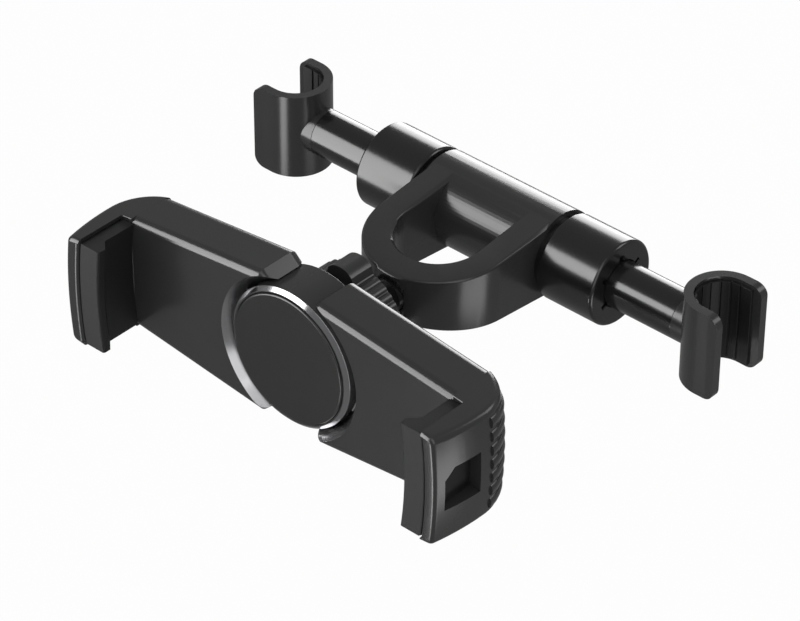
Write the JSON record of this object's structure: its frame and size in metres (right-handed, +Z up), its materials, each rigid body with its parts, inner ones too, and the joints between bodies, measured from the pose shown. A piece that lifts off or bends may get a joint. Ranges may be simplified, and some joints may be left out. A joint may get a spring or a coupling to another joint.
{
  "type": "headrest tablet mount",
  "caption": "Telescopic bar with open hooks for car headrest posts, carrying a forked ball-joint arm and a spreading cradle that grips a tablet by its edges.",
  "frame": {"origin": "the middle of the bar's axis, half way between the two hooks", "axes": "+X along the bar, -Y forward from the bar to the tablet, +Z up along the headrest posts"},
  "size_m": [0.1582, 0.108, 0.0434],
  "materials": {
    "black_plastic": "satin moulded",
    "black_metal": "satin black",
    "bright_trim": "polished",
    "steel": "plain",
    "white_plastic": "plain",
    "black_rubber": "matte"
  },
  "bodies": {
    "bar": {"centre_tube": "black_metal", "centre_stop": "white_plastic", "right_collar": "black_plastic", "right_guide_bush": "white_plastic", "right_rod_spring": "steel", "left_collar": "black_plastic", "left_guide_bush": "white_plastic", "left_rod_spring": "steel"},
    "right_rod_body": {"right_rod": "black_metal", "right_rod_stop": "steel", "right_hook": "black_plastic", "right_hook_screw": "steel", "right_hook_liner": "black_rubber"},
    "left_rod_body": {"left_rod": "black_metal", "left_rod_stop": "steel", "left_hook": "black_plastic", "left_hook_screw": "steel", "left_hook_liner": "black_rubber"},
    "yoke_body": {"yoke": "black_plastic", "ball_stud": "black_metal", "stud_screw": "steel"},
    "ball_liner_body": {"ball_liner": "white_plastic"},
    "socket_liner_body": {"socket_liner": "white_plastic"},
    "hub": {"hub_housing": "black_plastic", "front_disc": "black_plastic", "trim_ring": "bright_trim"},
    "nut": {"lock_nut": "black_plastic"},
    "right_half": {"right_shell": "black_plastic", "right_back_cover": "black_plastic", "right_cover_screws": "steel", "right_jaw": "black_plastic", "right_jaw_screws": "steel", "right_pad": "black_rubber", "right_rack": "white_plastic", "right_rack_screw": "steel"},
    "left_half": {"left_shell": "black_plastic", "left_back_cover": "black_plastic", "left_cover_screws": "steel", "left_jaw": "black_plastic", "left_jaw_screws": "steel", "left_pad": "black_rubber", "left_rack": "white_plastic", "left_rack_screw": "steel"},
    "gear": {"pinion": "white_plastic"}
  },
  "joints": [
    {"name": "right_rod_slide", "type": "slide", "parent": "bar", "child": "right_rod_body", "axis": [1, 0, 0], "range_m": [-0.018, 0], "stiffness_N_per_m": 700, "springref_m": 0.0115, "deforming": ["right_rod_spring"]},
    {"name": "left_rod_slide", "type": "slide", "parent": "bar", "child": "left_rod_body", "axis": [-1, 0, 0], "range_m": [-0.018, 0], "stiffness_N_per_m": 700, "springref_m": 0.0115, "deforming": ["left_rod_spring"]},
    {"name": "yoke_tilt", "type": "hinge", "parent": "bar", "child": "yoke_body", "pos_m": [0, 0, 0], "axis": [1, 0, 0], "continuous": true},
    {"name": "ball_pan", "type": "hinge", "parent": "yoke_body", "child": "ball_liner_body", "pos_m": [0, -0.0575, 0], "axis": [0, 0, 1], "range_deg": [-25, 25]},
    {"name": "ball_tilt", "type": "hinge", "parent": "ball_liner_body", "child": "socket_liner_body", "pos_m": [0, -0.0575, 0], "axis": [1, 0, 0], "range_deg": [-25, 25]},
    {"name": "ball_roll", "type": "hinge", "parent": "socket_liner_body", "child": "hub", "pos_m": [0, -0.0575, 0], "axis": [0, 1, 0], "continuous": true},
    {"name": "nut_turn", "type": "hinge", "parent": "hub", "child": "nut", "pos_m": [0, -0.0575, 0], "axis": [0, 1, 0], "range_deg": [0, 120]},
    {"name": "left_slide", "type": "slide", "parent": "hub", "child": "left_half", "axis": [-1, 0, 0], "range_m": [0, 0.04]},
    {"name": "right_slide", "type": "slide", "parent": "hub", "child": "right_half", "axis": [1, 0, 0], "range_m": [0, 0.04]},
    {"name": "pinion_turn", "type": "hinge", "parent": "hub", "child": "gear", "pos_m": [0, -0.0745, 0], "axis": [0, -1, 0], "range_deg": [0, 459]}
  ],
  "couplings": [
    {"joint": "right_slide", "follows": "left_slide", "ratio": 1},
    {"joint": "pinion_turn", "follows": "left_slide", "rad_per_m": 200}
  ]
}
